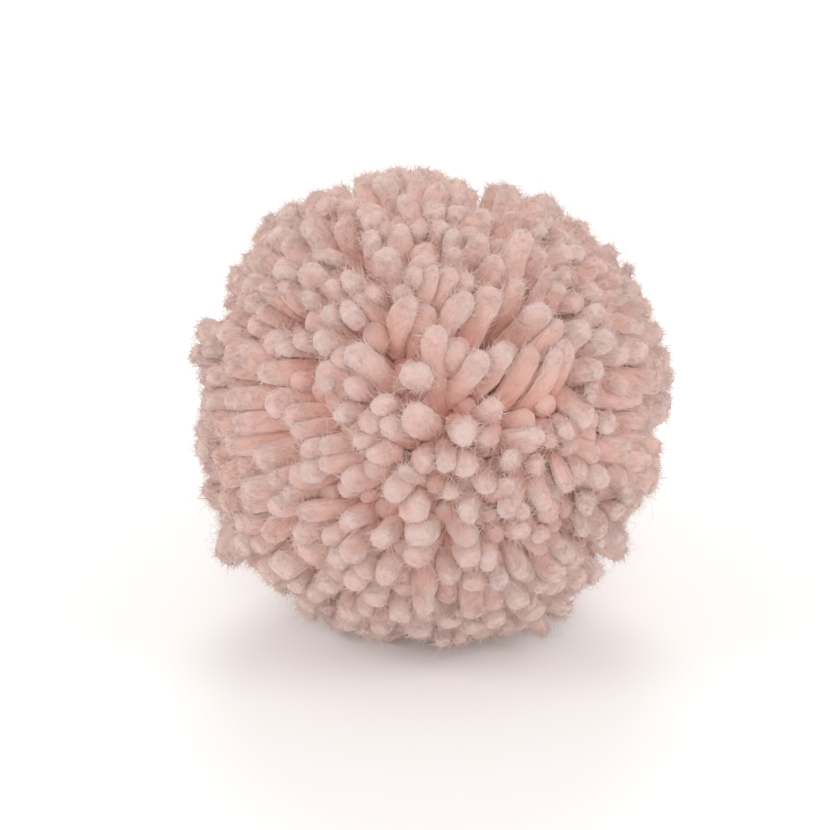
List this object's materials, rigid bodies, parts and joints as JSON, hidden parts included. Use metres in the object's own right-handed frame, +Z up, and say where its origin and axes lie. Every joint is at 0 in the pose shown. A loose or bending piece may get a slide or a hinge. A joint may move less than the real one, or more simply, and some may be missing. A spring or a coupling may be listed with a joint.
{
  "type": "yarn pom pom",
  "caption": "Round pom pom of thick, fluffy, cut yarn strands bound at the middle, resting on a small flat spot.",
  "frame": {"origin": "on the surface that the pom pom rests on, under the middle of its bounding box", "axes": "+Z up; -Y towards the viewer of the front, which looks along -Y and about 20 degrees up; +X to the right seen from the front"},
  "size_m": [0.0884, 0.0896, 0.0876],
  "materials": {
    "yarn": "matt fluffy single-ply wool"
  },
  "bodies": {
    "root": {"pompom": "yarn"}
  },
  "joints": []
}
